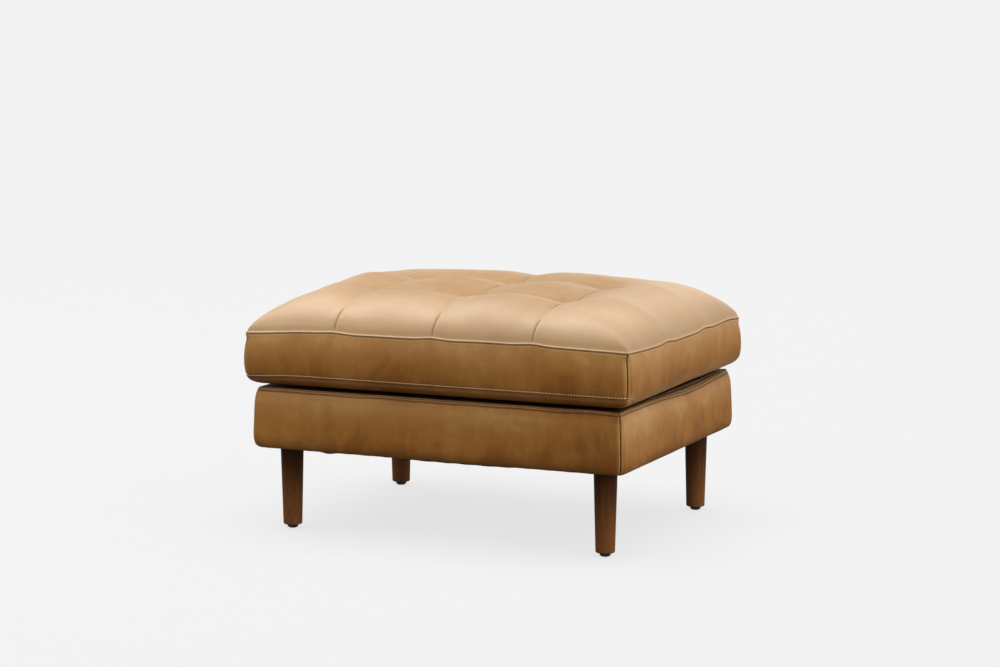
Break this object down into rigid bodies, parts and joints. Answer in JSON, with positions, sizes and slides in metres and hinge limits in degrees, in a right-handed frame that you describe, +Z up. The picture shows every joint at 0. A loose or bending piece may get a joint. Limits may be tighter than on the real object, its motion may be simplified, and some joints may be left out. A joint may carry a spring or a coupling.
{
  "type": "ottoman coffee table",
  "caption": "Low rectangular leather ottoman table with a loose blind-tufted cushion on a padded base and tapered wooden legs.",
  "frame": {"origin": "on the floor, under the middle of the ottoman", "axes": "+X to the right along the long front, +Y from front to back, +Z up"},
  "size_m": [0.799, 0.614, 0.4802],
  "materials": {
    "cushion_leather": "satin pull-up aniline leather",
    "base_leather": "satin pull-up aniline leather",
    "leg_walnut": "walnut stain, satin lacquer",
    "glide_plastic": "moulded black nylon",
    "frame_hardwood": "planed, unfinished",
    "zinc_steel": "zinc plated",
    "webbing": "woven elastic strap",
    "foam": "cut polyurethane foam",
    "fibre": "bonded polyester fibre",
    "deck_cloth": "plain woven platform cloth",
    "dust_cloth": "spun-bonded black cloth",
    "twine": "waxed polyester twine",
    "anchor_plastic": "moulded"
  },
  "bodies": {
    "base": {"centre_brace": "frame_hardwood", "cross_webbing": "webbing", "deck_cloth": "deck_cloth", "deck_pad": "foam", "dust_cover": "dust_cloth", "front_base_panel": "base_leather", "front_deck_border": "base_leather", "front_left_corner_block": "frame_hardwood", "front_left_glide": "glide_plastic", "front_left_leg": "leg_walnut", "front_left_leg_plate": "zinc_steel", "front_rail": "frame_hardwood", "front_right_corner_block": "frame_hardwood", "front_right_glide": "glide_plastic", "front_right_leg": "leg_walnut", "front_right_leg_plate": "zinc_steel", "front_side_pad": "foam", "hanger_bolts": "zinc_steel", "left_base_panel": "base_leather", "left_deck_border": "base_leather", "left_rail": "frame_hardwood", "left_side_pad": "foam", "leg_plate_screws": "zinc_steel", "long_webbing": "webbing", "rail_screws": "zinc_steel", "rear_base_panel": "base_leather", "rear_deck_border": "base_leather", "rear_left_corner_block": "frame_hardwood", "rear_left_glide": "glide_plastic", "rear_left_leg": "leg_walnut", "rear_left_leg_plate": "zinc_steel", "rear_rail": "frame_hardwood", "rear_right_corner_block": "frame_hardwood", "rear_right_glide": "glide_plastic", "rear_right_leg": "leg_walnut", "rear_right_leg_plate": "zinc_steel", "rear_side_pad": "foam", "right_base_panel": "base_leather", "right_deck_border": "base_leather", "right_rail": "frame_hardwood", "right_side_pad": "foam"},
    "cushion": {"cushion_bottom_panel": "cushion_leather", "cushion_core": "foam", "cushion_top_panel": "cushion_leather", "cushion_wrap": "fibre", "front_cushion_boxing": "cushion_leather", "left_cushion_boxing": "cushion_leather", "rear_cushion_boxing": "cushion_leather", "right_cushion_boxing": "cushion_leather", "tuft_anchors": "anchor_plastic", "tuft_ties": "twine"}
  },
  "joints": [
    {"name": "cushion_lift", "type": "slide", "parent": "base", "child": "cushion", "axis": [0, 0, 1], "range_m": [0, 0.25]}
  ]
}
